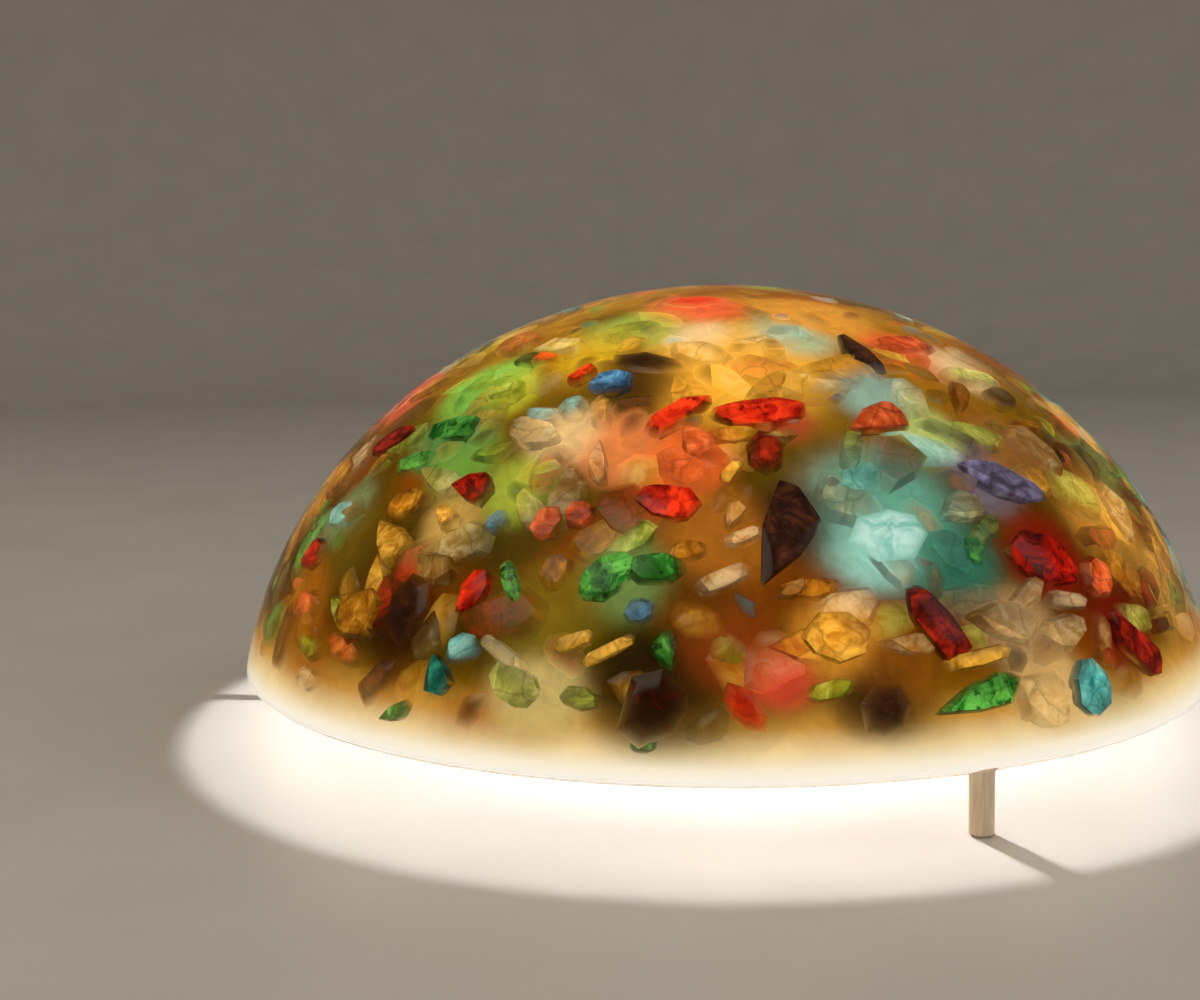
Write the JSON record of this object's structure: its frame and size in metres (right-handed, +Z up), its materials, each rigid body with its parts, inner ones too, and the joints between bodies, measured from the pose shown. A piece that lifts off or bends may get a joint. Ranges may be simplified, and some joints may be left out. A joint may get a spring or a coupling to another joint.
{
  "type": "table lamp",
  "caption": "Low dome table lamp: a cast amber resin shade set with coloured glass chips stands on dowel legs over a small base with a pull-out capsule bulb.",
  "frame": {"origin": "on the table under the crown of the dome, the middle of the box's underside", "axes": "+Z up, -Y towards the side that the picture shows, +X to its right"},
  "size_m": [0.2788, 0.2788, 0.1265],
  "materials": {
    "cast_resin": "milky amber cast resin, polished, lit from inside",
    "beech": "plain sanded beech",
    "felt": "dark pressed felt",
    "steatite": "unglazed white ceramic",
    "bronze": "spring bronze strip",
    "plated_steel": "bright zinc plate",
    "nylon": "natural nylon",
    "lead_sleeve": "white silicone sleeve",
    "housing": "white moulded plastic",
    "led_board": "board with yellow phosphor LEDs",
    "clear_cover": "clear cover of the lit bulb",
    "amber_glass": "broken amber glass, lit from behind",
    "aqua_glass": "broken aqua glass, lit from behind",
    "clear_glass": "broken clear glass, lit from behind",
    "coral_glass": "broken coral glass, lit from behind",
    "emerald_glass": "broken emerald glass, lit from behind",
    "garnet_glass": "broken garnet glass, lit from behind",
    "lime_glass": "broken lime glass, lit from behind",
    "ruby_glass": "broken ruby glass, lit from behind",
    "smoke_glass": "broken smoke glass, lit from behind",
    "teal_glass": "broken teal glass, lit from behind",
    "turquoise_glass": "broken turquoise glass, lit from behind",
    "violet_glass": "broken violet glass, lit from behind"
  },
  "bodies": {
    "base": {"base_disc": "beech", "block_screw": "plated_steel", "contact_clip_left": "bronze", "contact_clip_right": "bronze", "felt_pad": "felt", "holder_screw_left": "plated_steel", "holder_screw_right": "plated_steel", "lampholder_body": "steatite", "lead_left": "lead_sleeve", "lead_right": "lead_sleeve", "terminal_block": "nylon"},
    "dome": {"resin_dome": "cast_resin", "dowel_leg_front": "beech", "dowel_leg_rear": "beech", "dowel_leg_left": "beech", "amber_chip_16": "amber_glass", "amber_chip_32": "amber_glass", "aqua_chip_09": "aqua_glass", "aqua_chip_28": "aqua_glass", "aqua_chip_37": "aqua_glass", "clear_chip_25": "clear_glass", "clear_chip_36": "clear_glass", "coral_chip_11": "coral_glass", "coral_chip_22": "coral_glass", "emerald_chip_04": "emerald_glass", "emerald_chip_23": "emerald_glass", "emerald_chip_34": "emerald_glass", "garnet_chip_05": "garnet_glass", "garnet_chip_07": "garnet_glass", "garnet_chip_14": "garnet_glass", "garnet_chip_26": "garnet_glass", "garnet_chip_35": "garnet_glass", "lime_chip_21": "lime_glass", "lime_chip_30": "lime_glass", "lime_chip_39": "lime_glass", "ruby_chip_01": "ruby_glass", "ruby_chip_02": "ruby_glass", "ruby_chip_08": "ruby_glass", "ruby_chip_15": "ruby_glass", "ruby_chip_17": "ruby_glass", "ruby_chip_18": "ruby_glass", "ruby_chip_27": "ruby_glass", "ruby_chip_29": "ruby_glass", "ruby_chip_38": "ruby_glass", "smoke_chip_03": "smoke_glass", "smoke_chip_12": "smoke_glass", "smoke_chip_13": "smoke_glass", "smoke_chip_19": "smoke_glass", "smoke_chip_24": "smoke_glass", "smoke_chip_31": "smoke_glass", "teal_chip_20": "teal_glass", "turquoise_chip_06": "turquoise_glass", "turquoise_chip_33": "turquoise_glass", "violet_chip_10": "violet_glass"},
    "bulb": {"capsule_housing": "housing", "pin_loop_left": "plated_steel", "pin_loop_right": "plated_steel", "led_board": "led_board", "capsule_cover": "clear_cover"}
  },
  "joints": [
    {"name": "dome_lift", "type": "slide", "parent": "base", "child": "dome", "axis": [0, 0, 1], "range_m": [0, 0.15]},
    {"name": "bulb_pull", "type": "slide", "parent": "base", "child": "bulb", "axis": [0, 0, 1], "range_m": [0, 0.012]}
  ]
}
